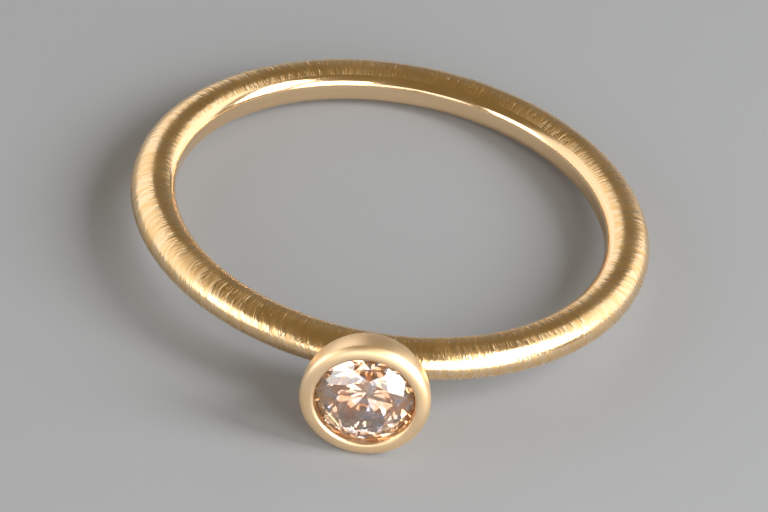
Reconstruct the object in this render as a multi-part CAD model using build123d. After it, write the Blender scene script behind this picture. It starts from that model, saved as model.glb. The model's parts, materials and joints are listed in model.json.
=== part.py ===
"""Stackable ring: a brushed gold band with a small bezel cup soldered on it, and a round brilliant in the cup.

Millimetres. The pieces are made in the ring's own frame: the bore's axis along Z through the origin, and the
cup standing out towards -Y. They are then laid down as the ring lies by itself on a table: on the back of the
band and on the underside of the cup.
"""
from build123d import *
import os
from math import asin, cos, degrees, hypot, radians, sin, sqrt

# ---- the band, of oval wire with the inside pressed flat ----
bore_diameter = 17.0            # the finger hole
band_thickness = 1.75           # from the bore wall outwards
band_width = 1.5                # along the bore
bore_flat = 0.6                 # width of the flat inside, before its edges are rounded
bore_edge_radius = 0.4          # soft edges of the bore wall, for comfort

# ---- the bezel cup, a half-round bowl, with heights counted from the bore's axis ----
rim_height = 12.6               # front plane of the rim
rim_diameter = 5.0              # outside, and the bowl's own diameter
rim_edge_radius = 0.26
lip_diameter = 3.78             # inner edge of the lip, turned in over the stone
lip_mouth_diameter = 3.88       # the lip's bright cut opens to this at the rim

# ---- the round brilliant ----
girdle_diameter = 4.0
girdle_thickness = 0.12
girdle_below_rim = 0.42         # from the rim's front plane down to the girdle's top
table_ratio = 0.57              # table, as a share of the girdle's diameter
crown_ratio = 0.15              # crown height, as a share of it
pavilion_ratio = 0.43           # pavilion depth, as a share of it
star_ratio = 0.50               # star facets' reach from the table's edge to the girdle
lower_half_ratio = 0.77         # lower girdle facets' reach from the girdle to the culet
facet_tip_gap = 0.01            # the main facets' tips stop this short of the girdle
stone_gap = 0.04                # clearance between the stone and the metal

# ---- worked out from those ----
bore_radius = bore_diameter / 2
girdle_radius = girdle_diameter / 2
rim_radius = rim_diameter / 2
bowl_centre = rim_height - rim_edge_radius
oval_height = band_width / 2    # the wire's half-axis along the bore
oval_depth = band_thickness / (1 + sqrt(1 - (bore_flat / band_width) ** 2))     # and across it
oval_centre_radius = bore_radius + band_thickness - oval_depth
girdle_top = rim_height - girdle_below_rim
girdle_bottom = girdle_top - girdle_thickness
crown_height = crown_ratio * girdle_diameter
pavilion_depth = pavilion_ratio * girdle_diameter
table_radius = table_ratio * girdle_radius
crown_slope = (crown_height - facet_tip_gap) / (girdle_radius - table_radius)
pavilion_slope = (pavilion_depth - facet_tip_gap) / girdle_radius
eighth = 360 / 8                # the brilliant's main facets repeat at this turn


def resting_tilt():
    """The ring's tilt in degrees when it lies on the band's back and on the underside of the cup."""
    rise = 0.0                  # sine of the tilt; settles within a few rounds
    for _ in range(8):
        band_reach = hypot(oval_depth * rise, oval_height * sqrt(1 - rise ** 2))
        rise = (rim_radius - band_reach) / (oval_centre_radius + bowl_centre)
    return degrees(asin(rise))


def band():
    """The hoop: a flat bore wall with soft edges, and a rounded outside."""
    oval = Pos(oval_centre_radius, 0) * Ellipse(oval_depth, oval_height)
    section = oval - Pos(bore_radius - oval_depth / 2, 0) * Rectangle(oval_depth, band_width)
    bore_corners = section.vertices().sort_by(Axis.X)[:2]
    hoop = revolve(Plane.XZ * fillet(bore_corners, bore_edge_radius), Axis.Z)
    return Rot(0, 0, 180) * hoop            # with the turned faces' seams at -X


def bowl_section():
    """Half the bowl's outline in (radius, height): half-round below its widest circle, then a flat rim."""
    bottom = bowl_centre - rim_radius
    front = Line((0, rim_height), (rim_radius - rim_edge_radius, rim_height))
    edge = CenterArc((rim_radius - rim_edge_radius, bowl_centre), rim_edge_radius, 90, -90)
    bowl = CenterArc((0, bowl_centre), rim_radius, 0, -90)
    return make_face([front, edge, bowl, Line((0, bottom), (0, rim_height))])


def seat_section():
    """Half of what the stone takes out of the bowl, with its clearance, and the bright cut over the lip."""
    lip_radius = lip_diameter / 2
    wall_radius = girdle_radius + stone_gap
    under_stone = stone_gap * hypot(1, pavilion_slope)
    over_stone = stone_gap * hypot(1, crown_slope)
    return make_face(Polyline([
        (0, girdle_bottom - pavilion_depth - under_stone),
        (wall_radius, girdle_bottom - under_stone + pavilion_slope * stone_gap),
        (wall_radius, girdle_top + over_stone),
        (lip_radius, girdle_top + over_stone + crown_slope * (girdle_radius - lip_radius)),
        (lip_mouth_diameter / 2, rim_height),
        (0, rim_height),
    ], close=True))


def to_cup_place(solid):
    """Turn a solid made along +Z, with heights from the bore's axis, to stand out towards -Y."""
    return Rot(90, 0, 0) * solid


def band_and_bezel():
    """Band and cup, soldered into one piece of gold, with the stone's seat cut out."""
    cup = revolve(Plane.XZ * (bowl_section() - seat_section()), Axis.Z)
    return band() + to_cup_place(cup)


def facet_cut(stone, turn, slope, radius, height, side=1):
    """Grind one flat facet: it faces out at this turn, falls by this slope, and passes through this point."""
    angle = radians(turn)
    point = (radius * cos(angle), radius * sin(angle), height)
    facing = (slope * cos(angle), slope * sin(angle), side)
    return split(stone, bisect_by=Plane(origin=point, z_dir=facing), keep=Keep.BOTTOM)


def diamond():
    """A round brilliant: table, 8 kites, 8 stars, 16 upper and 16 lower girdle facets, 8 pavilion mains."""
    half, quarter = eighth / 2, eighth / 4
    # the crown's points, where kite, star and upper girdle facets meet
    table_edge = table_radius * cos(radians(half))
    star_radius = table_edge + star_ratio * (girdle_radius - table_edge)
    star_height = crown_height - crown_slope * (star_radius * cos(radians(half)) - table_radius)
    star_slope = (crown_height - star_height) / (star_radius - table_edge)
    chord = girdle_radius * cos(radians(quarter))
    upper_slope = star_height / ((girdle_radius - star_radius) * cos(radians(quarter)))
    # the pavilion's points, where two mains and two lower girdle facets meet
    lower_radius = (1 - lower_half_ratio) * girdle_radius
    lower_depth = pavilion_depth - pavilion_slope * lower_radius * cos(radians(half))
    lower_slope = lower_depth / ((girdle_radius - lower_radius) * cos(radians(quarter)))

    stone = extrude(Circle(girdle_radius), girdle_top + crown_height)
    stone = split(stone, bisect_by=Plane.XY.offset(girdle_bottom - pavilion_depth), keep=Keep.TOP)
    for index in range(8):
        turn = index * eighth
        stone = facet_cut(stone, turn, crown_slope, table_radius, girdle_top + crown_height)
        stone = facet_cut(stone, turn, pavilion_slope, 0, girdle_bottom - pavilion_depth, side=-1)
    for index in range(8):
        stone = facet_cut(stone, index * eighth + half, star_slope, table_edge, girdle_top + crown_height)
    for index in range(16):
        turn = index * half + quarter
        stone = facet_cut(stone, turn, upper_slope, chord, girdle_top)
        stone = facet_cut(stone, turn, lower_slope, chord, girdle_bottom, side=-1)
    return to_cup_place(stone)


def lay_down(solids):
    """Tilt the ring to its resting place and bring the middle of its footprint to the origin."""
    tilted = [Rot(-resting_tilt(), 0, 0) * solid for solid in solids]
    box = Compound(tilted).bounding_box()
    shift = Pos(0, -box.center().Y, -box.min.Z)
    return [shift * solid for solid in tilted], shift


nodes = {"band_and_bezel": band_and_bezel().solid(), "diamond": diamond().solid()}
placed, shift = lay_down(list(nodes.values()))
os.makedirs("parts", exist_ok=True)
for name, solid in zip(nodes, placed):
    export_step(solid, f"parts/{name}.step")
print(f"tilt {resting_tilt():.3f} degrees, bore centre at {tuple(shift.position)}")
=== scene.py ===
"""Stackable ring: the finish of its gold and its stone, on a plain pale table.

Laid out as an add-on and run as a script. Each piece has its own operator: the brushed band, the bezel
cup, the solder that joins them, the diamond, and the stage. Lengths are in metres.
"""

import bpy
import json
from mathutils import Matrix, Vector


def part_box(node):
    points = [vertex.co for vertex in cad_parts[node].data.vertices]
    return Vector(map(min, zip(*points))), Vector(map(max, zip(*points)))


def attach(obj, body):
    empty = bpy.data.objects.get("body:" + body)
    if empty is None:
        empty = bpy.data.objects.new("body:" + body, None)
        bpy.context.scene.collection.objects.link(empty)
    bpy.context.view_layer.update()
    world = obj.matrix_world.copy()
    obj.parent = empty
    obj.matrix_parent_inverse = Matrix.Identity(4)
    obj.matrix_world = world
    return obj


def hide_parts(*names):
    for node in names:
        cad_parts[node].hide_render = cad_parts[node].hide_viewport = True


bl_info = {
    "name": "Stackable Ring",
    "version": (1, 0, 0),
    "blender": (4, 5, 0),
    "location": "3D View > Sidebar > Ring",
    "description": "A brushed gold band with a bezel-set round brilliant",
    "category": "Object",
}

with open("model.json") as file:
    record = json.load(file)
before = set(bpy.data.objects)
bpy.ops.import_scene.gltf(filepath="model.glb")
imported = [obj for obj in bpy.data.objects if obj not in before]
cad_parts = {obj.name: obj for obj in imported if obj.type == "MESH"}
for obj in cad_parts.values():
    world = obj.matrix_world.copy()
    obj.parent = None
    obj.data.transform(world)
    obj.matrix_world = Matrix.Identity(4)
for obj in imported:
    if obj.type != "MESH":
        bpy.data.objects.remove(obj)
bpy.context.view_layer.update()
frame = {"nodes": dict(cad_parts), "record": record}

import json
from math import atan2, cos, hypot, pi, radians, sin, sqrt, tan

import bmesh
import bpy
from bpy.props import FloatProperty, FloatVectorProperty, IntProperty, PointerProperty
from mathutils import Matrix, Vector

# ---- the ring's own frame, from the bore's mount: its axis is +Z, and the cup stands out towards -Y ----
bore = {mount["name"]: mount for mount in frame["record"]["mounts"]}["finger_bore"]
BORE_RADIUS = bore["dims"]["r_mm"] / 1000
BORE_CENTRE = Vector(bore["pos_m"])
BORE_TILT = -atan2(bore["axis"][1], bore["axis"][2])
RING_PLACE = Matrix.Translation(BORE_CENTRE) @ Matrix.Rotation(BORE_TILT, 4, "X")
CUP_PLACE = RING_PLACE @ Matrix.Rotation(pi / 2, 4, "X")     # its +Z runs out along the cup's axis
CLOSE = 1e-6                                                 # nearer than this, two points are the same

# ---- the fine strokes of the smoother finishes ----
SATIN_SPACING = 0.00007
SATIN_LENGTH = 0.002
SATIN_DEPTH = 0.000004
SATIN_SLANT = 0.05
HAIRLINE_SPACING = 0.00005
HAIRLINE_LENGTH = 0.004
HAIRLINE_DEPTH = 0.0000007
HAIRLINE_SLANT = 0.01

# ---- how a finish varies over its surface ----
STROKE_SETS = ((1.0, 1.0, 0.65), (-0.6, 0.55, 0.35))    # lean, spacing and weight of the crossing sets
STREAK_EDGES = (0.35, 0.65)                             # from the low of a stroke, painted darker as shade, to its bright top
SMUDGE_EDGES = (0.3, 0.7)                               # from clean to smudged
BRUSHED_SHADE_SHARE = 0.7                                    # share of the darker gold painted as shade into the lows of the strokes
SMOOTH_SHADE_SHARE = 0.25
BRUSHED_MARGINS = (0.06, 0.08)                          # how far roughness runs below and above its figure
SATIN_MARGINS = (0.04, 0.05)
POLISHED_MARGINS = (0.02, 0.08)
BRUSHED_SMUDGE = 0.002                                  # size of the smudges
SATIN_SMUDGE = 0.0012
POLISHED_SMUDGE = 0.003

# ---- the diamond ----
DIAMOND_IOR = 2.42
STONE_SMUDGE = 0.0008
SMUDGED_ROUGHNESS = 0.006
WARM_EDGES = (0.45, 0.55)                               # where the noise turns to painted warm fire
COOL_EDGES = (0.55, 0.62)
COOL_FINENESS = 1.7                                     # how many times smaller the patches of painted cool fire are

# ---- steps of the curves ----
SECTION_STEPS = 128
BORE_EDGE_STEPS = 8
MOUTH_EDGE_STEPS = 6
RIM_ROLL_STEPS = 14
BLANK_BAND_STEPS = 96
BLANK_BOWL_STEPS = 128

# ---- the stage ----
TABLE_SIZE = 6.0
TABLE_CLOUD_SCALE = 30.0
TABLE_CLOUD_SHADE = 0.97
SKY_EDGES = (0.2, 0.75)                                 # sines of where the walls end and the ceiling begins
CAMERA_CLIP = (0.01, 20.0)

# ---- sockets of the Mix node, whose names repeat ----
MIX_FACTOR, MIX_FIRST, MIX_SECOND, MIX_RESULT = 0, 6, 7, 2


def length(name, description, default):
    """A size that the sidebar shows in the scene's units."""
    return FloatProperty(name=name, description=description, default=default, unit="LENGTH",
                         subtype="DISTANCE", precision=5)


def share(name, description, default, top=1.0):
    """A plain number from nothing to top."""
    return FloatProperty(name=name, description=description, default=default, min=0.0, max=top)


def colour(name, description, default):
    """A colour that a user may change."""
    return FloatVectorProperty(name=name, description=description, default=default, subtype="COLOR", size=3,
                               min=0.0, max=1.0)


def angle(name, description, degrees):
    """An angle, written here in degrees."""
    return FloatProperty(name=name, description=description, default=radians(degrees), unit="ROTATION",
                         subtype="ANGLE")


class RingBand(bpy.types.PropertyGroup):
    """Sizes of the hoop."""
    thickness: length("Thickness", "From the bore wall outwards", 0.00175)
    width: length("Width", "Along the bore", 0.0015)
    bore_flat: length("Bore flat", "Width of the flat inside, before its edges are rounded", 0.0006)
    bore_edge: length("Bore edge", "Radius of the soft edges of the bore wall", 0.0004)
    polish: length("Polish", "How far out from the bore wall the band is polished", 0.0003)
    steps: IntProperty(name="Steps", description="Steps of the turned hoop", default=720, min=48)


class RingCup(bpy.types.PropertyGroup):
    """Sizes of the bezel cup, with heights counted from the bore's axis and depths from the rim."""
    rim_height: length("Rim height", "Front plane of the rim", 0.0126)
    rim_diameter: length("Rim diameter", "Outside of the rim and of the half-round bowl", 0.005)
    rim_drop: length("Rim drop", "From the rim down to the bowl's widest circle", 0.00026)
    rim_roll: length("Rim roll", "How far the rim's rounded outer edge reaches inwards", 0.00042)
    mouth_diameter: length("Mouth diameter", "The bright cut's diameter at the rim", 0.00388)
    mouth_edge: length("Mouth edge", "Radius of the edge between rim and bright cut", 0.00012)
    lip_diameter: length("Lip diameter", "Inner edge of the lip over the stone", 0.00378)
    lip_depth: length("Lip depth", "From the rim down to the lip's inner edge", 0.0003)
    ledge_depth: length("Ledge depth", "From the rim down to where the lip springs from the wall", 0.00037)
    wall_depth: length("Wall depth", "From the rim down to the foot of the wall round the stone", 0.00056)
    seat_depth: length("Seat depth", "From the rim down to the point of the seat", 0.00231)
    seat_point: length("Seat point", "Diameter of the seat's blunt point", 0.0001)
    stone_gap: length("Stone gap", "Clearance between the stone and the metal", 0.00004)
    steps: IntProperty(name="Steps", description="Steps round the cup", default=256, min=32)


class RingSolder(bpy.types.PropertyGroup):
    """Sizes of the solder joint between band and cup."""
    reach: angle("Reach", "How far the joint's blank follows the band to each side", 14.0)
    shell: length("Shell", "Thickness of the blank's bowl", 0.0003)
    grain: length("Grain", "Size of the blank's cells", 0.000034)
    flow: IntProperty(name="Flow", description="How far the solder has flowed into the corner", default=47,
                      min=1)


class RingFinish(bpy.types.PropertyGroup):
    """Colour and finish of the gold and the stone."""
    gold: colour("Gold", "Colour of the yellow gold", (1.0, 0.745, 0.47))
    # painted shade: this darker gold is painted into the lows of the strokes as their shade
    painted_shade_gold: colour("Painted shade gold", "Colour of the gold in the low of the strokes", (0.89, 0.53, 0.18))
    stroke_spacing: length("Stroke spacing", "From one brush stroke to the next", 0.00016)
    stroke_length: length("Stroke length", "Length of a brush stroke across the band", 0.0012)
    stroke_depth: length("Stroke depth", "Depth of the brush strokes", 0.000034)
    stroke_slant: share("Stroke slant", "How far the strokes lean along the band", 0.45, top=2.0)
    brushed: share("Brushed roughness", "Roughness of the brushed outside", 0.24)
    satin: share("Satin roughness", "Roughness of the cup", 0.42)
    polished: share("Polished roughness", "Roughness of the bore wall and the lip", 0.14)
    # partly the diamond's own champagne colour, partly a painted warm reflection of the gold seat below it
    stone: colour("Stone", "Tint of the diamond", (1.0, 0.70, 0.50))
    # painted light: warm and cool fire, flashes of coloured light, painted into the diamond's colour
    painted_warm_fire: colour("Painted warm fire", "Tint where the diamond flashes warm", (1.0, 0.50, 0.27))
    painted_cool_fire: colour("Painted cool fire", "Tint where the diamond flashes cool", (0.94, 0.88, 1.0))
    clearness: share("Clearness", "How much light the diamond lets through; it scatters the rest", 0.89)
    painted_fire_size: length("Painted fire size", "From one patch of fire in the diamond to the next", 0.0006)


class RingStage(bpy.types.PropertyGroup):
    """Table, light and camera."""
    table: colour("Table", "Colour of the table top", (0.312, 0.324, 0.344))
    table_roughness: share("Table roughness", "Roughness of the table top", 0.8)
    table_gloss: share("Table gloss", "How strongly the table top mirrors the lamps", 0.2)
    zenith: colour("Overhead", "Colour of the room above", (0.19, 0.145, 0.065))
    horizon: colour("Walls", "Colour of the room's walls", (0.205, 0.185, 0.155))
    key: share("Key", "Brightness of the soft box at the right", 13.2, top=40.0)
    window: share("Window", "Brightness of the low soft box at the right, in front", 5.8, top=20.0)
    front: share("Front", "Brightness of the low soft box in front", 2.0, top=20.0)
    narrow: share("Narrow", "Brightness of the low soft box at the left, in front", 2.7, top=20.0)
    fill: share("Fill", "Brightness of the large soft box at the left", 0.95, top=20.0)
    side: share("Side", "Brightness of the soft box at the right, behind", 1.2, top=20.0)
    azimuth: angle("Azimuth", "Camera's turn round the ring from the cup's side", -1.35)
    elevation: angle("Elevation", "Camera's height over the table", 39.5)
    roll: angle("Roll", "Camera's roll", 10.3)
    distance: length("Distance", "From the camera to the ring", 0.3)
    aim: length("Aim", "Height over the table of the point in the middle of the picture", 0.0005)
    focal_length: FloatProperty(name="Focal length", description="Lens of the camera", default=360.0,
                                unit="CAMERA", min=1.0)


# ---- small tools ----
def deselect():
    """Nothing selected, and nothing in edit mode."""
    if bpy.context.object and bpy.context.object.mode != "OBJECT":
        bpy.ops.object.mode_set(mode="OBJECT")
    bpy.ops.object.select_all(action="DESELECT")


def begin(name):
    """Name the primitive that was just added, fix its place in its mesh and open it for editing."""
    piece = bpy.context.object
    piece.name = piece.data.name = name
    bpy.ops.object.transform_apply(location=True, rotation=True, scale=True)
    bpy.ops.object.mode_set(mode="EDIT")
    return piece


def pick(piece, kind, test):
    """Select the vertices, edges or faces whose middle passes the test."""
    kinds = ("verts", "edges", "faces")
    bpy.context.tool_settings.mesh_select_mode = [kind == each for each in kinds]
    mesh = bmesh.from_edit_mesh(piece.data)
    for each in kinds:
        for part in getattr(mesh, each):
            part.select = False
    for part in getattr(mesh, kind):
        middle = part.co if kind == "verts" else middle_of(part)
        part.select_set(bool(test(middle)))
    mesh.select_flush_mode()
    bmesh.update_edit_mesh(piece.data)


def middle_of(part):
    """The middle of an edge or a face."""
    return sum((vertex.co for vertex in part.verts), Vector()) / len(part.verts)


def polish(piece, material, test):
    """Give a second material to the faces whose middle passes the test."""
    piece.data.materials.append(material)
    pick(piece, "faces", test)
    piece.active_material_index = 1
    bpy.ops.object.material_slot_assign()


def finish(piece, place, smooth_below=35):
    """Close seams, turn faces outwards, put the piece in its place and let it ride with the ring."""
    bpy.ops.mesh.select_all(action="SELECT")
    bpy.ops.mesh.remove_doubles(threshold=CLOSE / 10)
    bpy.ops.mesh.normals_make_consistent(inside=False)
    bpy.ops.object.mode_set(mode="OBJECT")
    piece.matrix_world = place
    bpy.ops.object.transform_apply(location=True, rotation=True, scale=True)
    bpy.ops.object.shade_smooth_by_angle(angle=radians(smooth_below))
    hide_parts("band_and_bezel")
    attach(piece, "root")


# ---- material tools ----
def add(tree, kind, inputs=None, **settings):
    """Put a node in a tree with its settings, and set or link its inputs by name or number."""
    node = tree.nodes.new(kind)
    for name, value in settings.items():
        setattr(node, name, value)
    for key, value in (inputs or {}).items():
        if isinstance(value, bpy.types.NodeSocket):
            tree.links.new(value, node.inputs[key])
        else:
            node.inputs[key].default_value = value
    return node


def calc(tree, operation, *values):
    """One Math node's result."""
    return add(tree, "ShaderNodeMath", dict(enumerate(values)), operation=operation).outputs[0]


def between(tree, value, low, high, to_low=0.0, to_high=1.0):
    """A value's place between low and high, smoothed and mapped to another range."""
    inputs = {"Value": value, "From Min": low, "From Max": high, "To Min": to_low, "To Max": to_high}
    return add(tree, "ShaderNodeMapRange", inputs, interpolation_type="SMOOTHSTEP").outputs[0]


def noise(tree, vector, scale, detail, roughness=0.5):
    """Soft noise that runs from nothing to one."""
    inputs = {"Vector": vector, "Scale": scale, "Detail": detail, "Roughness": roughness}
    return add(tree, "ShaderNodeTexNoise", inputs, noise_dimensions="3D").outputs[0]


def blend(tree, factor, first, second):
    """Two colours mixed by a factor."""
    first, second = (value if isinstance(value, bpy.types.NodeSocket) else (*value, 1.0)
                     for value in (first, second))
    inputs = {MIX_FACTOR: factor, MIX_FIRST: first, MIX_SECOND: second}
    return add(tree, "ShaderNodeMix", inputs, data_type="RGBA").outputs[MIX_RESULT]


def new_group(name, inputs, outputs):
    """An empty node group with sockets of these names and kinds; gives its inside outputs and inputs too."""
    tree = bpy.data.node_groups.new(name, "ShaderNodeTree")
    for direction, sockets in (("INPUT", inputs), ("OUTPUT", outputs)):
        for socket, kind in sockets.items():
            tree.interface.new_socket(socket, in_out=direction, socket_type=f"NodeSocket{kind}")
    return tree, tree.nodes.new("NodeGroupInput").outputs, tree.nodes.new("NodeGroupOutput").inputs


def polar(tree, vector):
    """Angle about Z, distance from Z, and height of a point."""
    point = add(tree, "ShaderNodeSeparateXYZ", {0: vector}).outputs
    turn = calc(tree, "ARCTAN2", point["Y"], point["X"])
    squares = calc(tree, "ADD", calc(tree, "POWER", point["X"], 2.0), calc(tree, "POWER", point["Y"], 2.0))
    return turn, calc(tree, "SQRT", squares), point["Z"]


def brush_group():
    """Two crossing sets of fine strokes with ragged ends, the second finer and leaning back.

    Along counts the strokes, and Down runs down each of them.
    """
    group = bpy.data.node_groups.get("Brush strokes")
    if group:
        return group
    inputs = dict.fromkeys(("Along", "Down", "Depth", "Spacing", "Length", "Slant"), "Float")
    tree, given, result = new_group("Brush strokes", inputs, {"Height": "Float", "Streak": "Float"})
    sets = []
    for lean, spread, weight in STROKE_SETS:
        slant = calc(tree, "MULTIPLY", given["Slant"], lean)
        sheared = calc(tree, "ADD", given["Along"], calc(tree, "MULTIPLY", slant, given["Down"]))
        across = calc(tree, "DIVIDE", sheared, calc(tree, "MULTIPLY", given["Spacing"], spread))
        down = calc(tree, "DIVIDE", given["Down"], given["Length"])
        deep = calc(tree, "DIVIDE", given["Depth"], given["Length"])
        where = add(tree, "ShaderNodeCombineXYZ", {"X": across, "Y": down, "Z": deep}).outputs[0]
        strokes = noise(tree, where, scale=1.0, detail=2.0, roughness=0.6)
        sets.append(calc(tree, "MULTIPLY", strokes, weight))
    height = calc(tree, "ADD", *sets)
    tree.links.new(height, result["Height"])
    tree.links.new(between(tree, height, *STREAK_EDGES), result["Streak"])
    return tree


def wear_group():
    """Soft clouds of handling over a finish, from fine smudges to broad ones."""
    group = bpy.data.node_groups.get("Handling")
    if group:
        return group
    tree, given, result = new_group("Handling", {"Vector": "Vector", "Size": "Float"}, {"Smudge": "Float"})
    scale = calc(tree, "DIVIDE", 1.0, given["Size"])
    clouds = noise(tree, given["Vector"], scale, detail=3.0, roughness=0.55)
    tree.links.new(between(tree, clouds, *SMUDGE_EDGES), result["Smudge"])
    return tree


def new_material(name):
    """A material with a Principled shader, its tree and the shader."""
    material = bpy.data.materials.new(name)
    material.use_nodes = True
    tree = material.node_tree
    shader = tree.nodes["Principled BSDF"]
    return material, tree, shader


def own_frame(tree, place):
    """Object coordinates, brought to a frame that stands at this place."""
    coordinates = add(tree, "ShaderNodeTexCoord").outputs["Object"]
    return add(tree, "ShaderNodeMapping", {"Vector": coordinates, "Location": place.to_translation(),
                                           "Rotation": place.to_euler()}, vector_type="TEXTURE").outputs[0]


def use_group(tree, group, inputs):
    """A node group placed in a tree; gives its outputs."""
    return add(tree, "ShaderNodeGroup", inputs, node_tree=group).outputs


def gold_finish(name, look, place, lay, depth, roughness, margins, smudge_size, shade_share=SMOOTH_SHADE_SHARE):
    """Gold with the strokes of one finish, as deep as given, whose lows are painted a darker, deeper gold as
    shade.

    The lay gives the strokes their inputs from a point's turn, radius and height. The first margin is how
    much smoother than its roughness the gold is on top of its strokes, where handling has burnished it.
    The second is how much rougher it is in the lows that handling has spared.
    """
    material, tree, shader = new_material(name)
    point = own_frame(tree, place)
    strokes = use_group(tree, brush_group(), lay(tree, *polar(tree, point)))
    smudge = use_group(tree, wear_group(), {"Vector": point, "Size": smudge_size})["Smudge"]
    bright = calc(tree, "MULTIPLY", calc(tree, "ADD", smudge, strokes["Streak"]), 0.5)
    # painted shade: the lows of the strokes are painted a darker, more saturated gold as the shade of the
    # grooves
    lows = [light + shade_share * (deep - light) for light, deep in zip(look.gold, look.painted_shade_gold)]
    bump = add(tree, "ShaderNodeBump", {"Height": strokes["Height"], "Distance": depth})
    smoothest, roughest = roughness - margins[0], roughness + margins[1]
    tree.links.new(blend(tree, strokes["Streak"], lows, look.gold), shader.inputs["Base Color"])
    tree.links.new(between(tree, bright, 0.0, 1.0, roughest, smoothest), shader.inputs["Roughness"])
    tree.links.new(bump.outputs[0], shader.inputs["Normal"])
    shader.inputs["Metallic"].default_value = 1.0
    return material


def brushed_gold(look):
    """Outside of the band: short coarse strokes that cross it and lean both ways."""
    def lay(tree, turn, radius, height):
        return {"Along": calc(tree, "MULTIPLY", turn, BORE_RADIUS), "Down": height, "Depth": radius,
                "Spacing": look.stroke_spacing, "Length": look.stroke_length, "Slant": look.stroke_slant}
    return gold_finish("brushed gold", look, RING_PLACE, lay, look.stroke_depth, look.brushed,
                       BRUSHED_MARGINS, BRUSHED_SMUDGE, BRUSHED_SHADE_SHARE)


def satin_gold(look, cup):
    """The cup: very fine strokes turned about its own axis."""
    def lay(tree, turn, radius, height):
        return {"Along": calc(tree, "ADD", radius, height),
                "Down": calc(tree, "MULTIPLY", turn, cup.rim_diameter / 2),
                "Spacing": SATIN_SPACING, "Length": SATIN_LENGTH, "Slant": SATIN_SLANT}
    return gold_finish("satin gold", look, CUP_PLACE, lay, SATIN_DEPTH, look.satin, SATIN_MARGINS,
                       SATIN_SMUDGE)


def polished_gold(name, look, place, reach):
    """Bright gold with hairlines that run round at this reach from the axis."""
    def lay(tree, turn, radius, height):
        return {"Along": height, "Down": calc(tree, "MULTIPLY", turn, reach), "Depth": radius,
                "Spacing": HAIRLINE_SPACING, "Length": HAIRLINE_LENGTH, "Slant": HAIRLINE_SLANT}
    return gold_finish(name, look, place, lay, HAIRLINE_DEPTH, look.polished, POLISHED_MARGINS,
                       POLISHED_SMUDGE)


def diamond_material(look):
    """Clear stone with painted warm and cool fire, flashes of coloured light painted into its colour in
    patches about as large as its facets.
    """
    material, tree, shader = new_material("diamond")
    point = add(tree, "ShaderNodeTexCoord").outputs["Object"]
    # painted light: patches of warm and cool fire painted into the stone's colour
    warmth = noise(tree, point, 1 / look.painted_fire_size, detail=0.0)
    coolness = noise(tree, point, COOL_FINENESS / look.painted_fire_size, detail=0.0)
    # the stone tint: partly its own champagne colour, partly a painted warm reflection of the gold seat
    base = blend(tree, between(tree, warmth, *WARM_EDGES), look.stone, look.painted_warm_fire)
    base = blend(tree, between(tree, coolness, *COOL_EDGES), base, look.painted_cool_fire)
    smudge = use_group(tree, wear_group(), {"Vector": point, "Size": STONE_SMUDGE})["Smudge"]
    tree.links.new(base, shader.inputs["Base Color"])
    tree.links.new(between(tree, smudge, 0.0, 1.0, 0.0, SMUDGED_ROUGHNESS), shader.inputs["Roughness"])
    shader.inputs["IOR"].default_value = DIAMOND_IOR
    shader.inputs["Transmission Weight"].default_value = look.clearness
    return material


# ---- the pieces ----
def turned_band(name, size, reach, steps):
    """Turn the wire's section about the bore's axis, to the same reach on both sides of the cup."""
    half_width = size.width / 2
    flatness = sqrt(1 - (size.bore_flat / size.width) ** 2)
    half_depth = size.thickness / (1 + flatness)
    middle = BORE_RADIUS + size.thickness - half_depth
    corner = Vector((BORE_RADIUS, 0, size.bore_flat / 2))
    slope = atan2(half_width * flatness, half_depth * size.bore_flat / size.width)     # the oval's, there
    rounding = size.bore_edge * tan((pi / 2 - slope) / 2)       # how far from the corner its rounding begins
    crowded = 1.1 * rounding                                    # nearer than this, points are in its way

    def near_corner(place):
        return CLOSE < (Vector((place.x, 0, abs(place.z))) - corner).length < crowded

    deselect()
    bpy.ops.mesh.primitive_circle_add(vertices=SECTION_STEPS, radius=1.0, fill_type="NGON",
                                      rotation=(pi / 2, 0, 0))
    band = begin(name)
    bpy.ops.transform.resize(value=(half_depth, 1, half_width))
    bpy.ops.transform.translate(value=(middle, 0, 0))
    bpy.ops.mesh.bisect(plane_co=(BORE_RADIUS, 0, 0), plane_no=(1, 0, 0), clear_inner=True,
                        threshold=CLOSE / 10)
    pick(band, "verts", near_corner)
    bpy.ops.mesh.dissolve_verts()
    pick(band, "verts", lambda place: place.x < BORE_RADIUS + CLOSE)
    bpy.ops.mesh.bevel(offset=rounding, segments=BORE_EDGE_STEPS, affect="VERTICES",
                       clamp_overlap=False)
    bpy.ops.mesh.select_all(action="SELECT")
    bpy.ops.transform.rotate(value=pi / 2 - reach, orient_axis="Z", center_override=(0, 0, 0))
    if reach >= pi:
        bpy.ops.mesh.delete(type="ONLY_FACE")
        bpy.ops.mesh.select_all(action="SELECT")
    bpy.ops.mesh.spin(steps=steps, angle=2 * reach, center=(0, 0, 0), axis=(0, 0, 1))
    return band


class RING_OT_band(bpy.types.Operator):
    """Turn the hoop from oval wire: flat and polished inside, brushed outside"""
    bl_idname = "ring.band"
    bl_label = "Band"

    def execute(self, context):
        size = context.scene.ring_band
        look = context.scene.ring_finish
        band = turned_band("band", size, pi, size.steps)
        band.data.materials.append(brushed_gold(look))
        polish_end = BORE_RADIUS + size.polish
        polish(band, polished_gold("polished gold", look, RING_PLACE, BORE_RADIUS),
               lambda place: hypot(place.x, place.y) < polish_end)
        finish(band, RING_PLACE)
        return {"FINISHED"}


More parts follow.
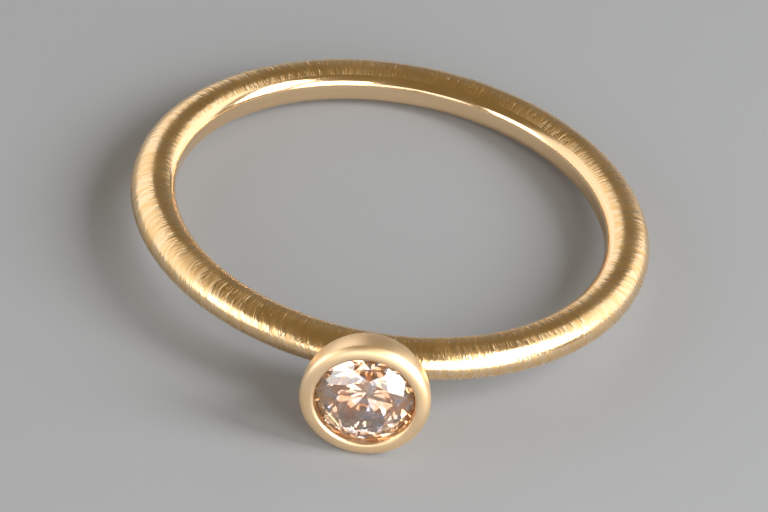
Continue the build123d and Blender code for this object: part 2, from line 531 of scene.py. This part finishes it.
class RING_OT_cup(bpy.types.Operator):
    """Form the bezel cup: a half-round bowl, a rounded rim, a bright cut lip and the stone's seat"""
    bl_idname = "ring.cup"
    bl_label = "Bezel cup"

    def execute(self, context):
        size = context.scene.ring_cup
        look = context.scene.ring_finish
        radius = size.rim_diameter / 2
        centre = size.rim_height - size.rim_drop
        deselect()
        bpy.ops.mesh.primitive_uv_sphere_add(segments=size.steps, ring_count=size.steps // 2, radius=radius,
                                             location=(0, 0, centre))
        cup = begin("bezel_cup")
        bpy.ops.mesh.select_all(action="SELECT")
        bpy.ops.mesh.bisect(plane_co=(0, 0, centre), plane_no=(0, 0, 1), clear_outer=True, threshold=CLOSE)
        pick(cup, "edges", lambda place: place.z > centre - CLOSE)
        bpy.ops.mesh.edge_face_add()
        self.roll_rim(size, centre, radius)
        self.sink_seat(cup, size, radius - size.rim_roll)
        cup.data.materials.append(satin_gold(look, size))
        mouth, middle = size.mouth_diameter / 2, Vector((0, 0, centre))
        skin = 0.9 * radius                     # the bowl's outside lies beyond this, the seat within it
        polish(cup, polished_gold("bright cut gold", look, CUP_PLACE, size.lip_diameter / 2),
               lambda place: hypot(place.x, place.y) < mouth and (place - middle).length < skin)
        finish(cup, CUP_PLACE, smooth_below=28)
        return {"FINISHED"}

    @staticmethod
    def step_to(ring, new_ring):
        """Extrude the selected round face from one height and radius to the next."""
        (height, radius), (new_height, new_radius) = ring, new_ring
        bpy.ops.mesh.extrude_region_move(TRANSFORM_OT_translate={"value": (0, 0, new_height - height)})
        grow = new_radius / radius
        bpy.ops.transform.resize(value=(grow, grow, 1), center_override=(0, 0, new_height))

    def roll_rim(self, size, centre, radius):
        """Raise the rim from the bowl's widest circle in an oval curve."""
        flat = radius - size.rim_roll
        curve = [(centre + size.rim_drop * sin(turn), flat + size.rim_roll * cos(turn))
                 for turn in (pi / 2 * step / RIM_ROLL_STEPS for step in range(RIM_ROLL_STEPS + 1))]
        for ring, new_ring in zip(curve, curve[1:]):
            self.step_to(ring, new_ring)

    def sink_seat(self, cup, size, rim_flat):
        """Sink the bright cut and the stone's seat into the rim, and soften the mouth's edge."""
        low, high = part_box("diamond")
        top, mouth, lip = size.rim_height, size.mouth_diameter / 2, size.lip_diameter / 2
        wall = (high.x - low.x) / 2 + size.stone_gap
        pick(cup, "faces", lambda place: place.z > top - CLOSE and hypot(place.x, place.y) < CLOSE)
        bpy.ops.mesh.inset(thickness=rim_flat - mouth)
        rings = [(top, mouth), (top - size.lip_depth, lip), (top - size.ledge_depth, wall),
                 (top - size.wall_depth, wall), (top - size.seat_depth, size.seat_point / 2)]
        for ring, new_ring in zip(rings, rings[1:]):
            self.step_to(ring, new_ring)
        pick(cup, "edges", lambda place: (place.z > top - CLOSE
                                          and abs(hypot(place.x, place.y) - mouth) < CLOSE))
        bpy.ops.mesh.bevel(offset=size.mouth_edge, segments=MOUTH_EDGE_STEPS, affect="EDGES",
                           clamp_overlap=False)


class RING_OT_solder(bpy.types.Operator):
    """Flow solder into the corner between band and cup"""
    bl_idname = "ring.solder"
    bl_label = "Solder joint"

    def execute(self, context):
        size = context.scene.ring_solder
        cup = context.scene.ring_cup
        blank = self.bowl_blank(cup, size)
        band = turned_band("band_blank", context.scene.ring_band, size.reach, BLANK_BAND_STEPS)
        deselect()
        band.select_set(True)
        blank.select_set(True)
        context.view_layer.objects.active = blank
        bpy.ops.object.join()
        for kind, settings in (("REMESH", {"mode": "VOXEL", "voxel_size": size.grain}),
                               ("SMOOTH", {"iterations": size.flow})):
            modifier = blank.modifiers.new(kind, kind)
            for name, value in settings.items():
                setattr(modifier, name, value)
            bpy.ops.object.modifier_apply(modifier=modifier.name)
        blank.data.materials.append(satin_gold(context.scene.ring_finish, cup))
        bpy.ops.object.mode_set(mode="EDIT")
        bpy.ops.mesh.select_all(action="SELECT")
        core = BORE_RADIUS + context.scene.ring_band.thickness / 2     # the half nearer the bore is cut away
        bpy.ops.mesh.bisect(plane_co=(0, -core, 0), plane_no=(0, 1, 0), use_fill=True, clear_outer=True,
                            threshold=CLOSE)
        finish(blank, RING_PLACE)
        return {"FINISHED"}

    @staticmethod
    def bowl_blank(cup, size):
        """The part of the bowl that meets the band, as a shell, standing out towards -Y."""
        radius = cup.rim_diameter / 2
        centre = cup.rim_height - cup.rim_drop
        deselect()
        bpy.ops.mesh.primitive_uv_sphere_add(segments=BLANK_BOWL_STEPS, ring_count=BLANK_BOWL_STEPS // 2,
                                             radius=radius, location=(0, -centre, 0),
                                             rotation=(pi / 2, 0, 0))
        blank = begin("solder_joint")
        bpy.ops.mesh.select_all(action="SELECT")
        bpy.ops.mesh.bisect(plane_co=(0, radius / 2 - centre, 0), plane_no=(0, 1, 0), clear_inner=True,
                            threshold=CLOSE)
        bpy.ops.mesh.select_all(action="SELECT")
        bpy.ops.mesh.solidify(thickness=size.shell)
        bpy.ops.object.mode_set(mode="OBJECT")
        return blank


class RING_OT_diamond(bpy.types.Operator):
    """Give the cut stone its clear material; its facets come with the frame"""
    bl_idname = "ring.diamond"
    bl_label = "Diamond"

    def execute(self, context):
        stone = frame["nodes"]["diamond"]
        stone.data.materials.clear()
        stone.data.materials.append(diamond_material(context.scene.ring_finish))
        return {"FINISHED"}


class RING_OT_stage(bpy.types.Operator):
    """Lay the table, hang the lights and set up the camera"""
    bl_idname = "ring.stage"
    bl_label = "Stage"

    def execute(self, context):
        stage = context.scene.ring_stage
        self.lay_table(stage)
        self.light_room(context, stage)
        self.stand_light("key_box", stage.key, azimuth=84, width=0.09, height=0.21, distance=0.2, lift=0.07)
        self.stand_light("window_box", stage.window, azimuth=42, width=0.09, height=0.14, distance=0.14)
        self.stand_light("front_box", stage.front, azimuth=0, width=0.34, height=0.12)
        self.stand_light("narrow_box", stage.narrow, azimuth=-58, width=0.17, height=0.22)
        self.stand_light("fill_box", stage.fill, azimuth=-118, width=0.74, height=0.34)
        self.stand_light("side_box", stage.side, azimuth=130, width=0.22, height=0.36)
        self.aim_camera(context, stage)
        context.scene.view_settings.view_transform = "Standard"
        return {"FINISHED"}

    @staticmethod
    def lay_table(stage):
        """A plain pale table top."""
        deselect()
        bpy.ops.mesh.primitive_plane_add(size=TABLE_SIZE)
        top = bpy.context.object
        top.name = "table_top"
        material, tree, shader = new_material("table top")
        coordinates = add(tree, "ShaderNodeTexCoord").outputs["Object"]
        clouds = noise(tree, coordinates, TABLE_CLOUD_SCALE, detail=3.0)
        darker = [TABLE_CLOUD_SHADE * part for part in stage.table]
        tree.links.new(blend(tree, clouds, darker, stage.table), shader.inputs["Base Color"])
        shader.inputs["Roughness"].default_value = stage.table_roughness
        shader.inputs["Specular IOR Level"].default_value = stage.table_gloss
        top.data.materials.append(material)

    @staticmethod
    def light_room(context, stage):
        """The room: dim overhead, pale walls."""
        world = bpy.data.worlds.new("room")
        context.scene.world = world
        world.use_nodes = True
        tree = world.node_tree
        direction = add(tree, "ShaderNodeTexCoord").outputs["Generated"]
        height = add(tree, "ShaderNodeSeparateXYZ", {0: direction}).outputs["Z"]
        sky = blend(tree, between(tree, height, *SKY_EDGES), stage.horizon, stage.zenith)
        tree.links.new(sky, tree.nodes["Background"].inputs["Color"])

    @staticmethod
    def stand_light(name, brightness, azimuth, width, height, distance=0.3, lift=0.0):
        """An upright soft box that faces the ring, its lower edge lifted this far over the table.

        The azimuth is in degrees, from the cup's side to the right.
        """
        turn = radians(azimuth)
        lamp = bpy.data.lights.new(name, "AREA")
        lamp.shape = "RECTANGLE"
        lamp.size, lamp.size_y = width, height
        lamp.energy = brightness * pi * width * height      # the power that makes its face this bright
        light = bpy.data.objects.new(name, lamp)
        light.location = Vector((sin(turn), -cos(turn), 0)) * distance + Vector((0, 0, lift + height / 2))
        light.rotation_euler = (pi / 2, 0, turn)
        light.visible_camera = False
        bpy.context.scene.collection.objects.link(light)

    @staticmethod
    def aim_camera(context, stage):
        """The camera looks down at the ring from the cup's side."""
        turn, rise = stage.azimuth, stage.elevation
        back = Vector((sin(turn) * cos(rise), -cos(turn) * cos(rise), sin(rise)))
        data = bpy.data.cameras.new("camera")
        data.lens = stage.focal_length
        data.clip_start, data.clip_end = CAMERA_CLIP
        camera = bpy.data.objects.new("camera", data)
        camera.location = Vector((0, 0, stage.aim)) + back * stage.distance
        camera.rotation_euler = (back.to_track_quat("Z", "Y").to_matrix() @
                                 Matrix.Rotation(stage.roll, 3, "Z")).to_euler()
        context.scene.collection.objects.link(camera)
        context.scene.camera = camera


class RING_PT_panel(bpy.types.Panel):
    """The ring's sizes and pieces"""
    bl_label = "Stackable Ring"
    bl_idname = "RING_PT_panel"
    bl_space_type = "VIEW_3D"
    bl_region_type = "UI"
    bl_category = "Ring"

    def draw(self, context):
        for settings, (_, operator) in SECTIONS.items():
            box = self.layout.box()
            group = getattr(context.scene, settings)
            for name in group.__annotations__:
                box.prop(group, name)
            box.operator(operator.bl_idname)


SECTIONS = {
    "ring_band": (RingBand, RING_OT_band),
    "ring_cup": (RingCup, RING_OT_cup),
    "ring_solder": (RingSolder, RING_OT_solder),
    "ring_finish": (RingFinish, RING_OT_diamond),
    "ring_stage": (RingStage, RING_OT_stage),
}
CLASSES = (*(each for pair in SECTIONS.values() for each in pair), RING_PT_panel)


def register():
    for each in CLASSES:
        bpy.utils.register_class(each)
    for name, (group, _) in SECTIONS.items():
        setattr(bpy.types.Scene, name, PointerProperty(type=group))


def unregister():
    for name in SECTIONS:
        delattr(bpy.types.Scene, name)
    for each in reversed(CLASSES):
        bpy.utils.unregister_class(each)


def main():
    """Make every piece and the stage."""
    register()
    bpy.ops.ring.band()
    bpy.ops.ring.cup()
    bpy.ops.ring.solder()
    bpy.ops.ring.diamond()
    bpy.ops.ring.stage()


if __name__ == "__main__":
    main()
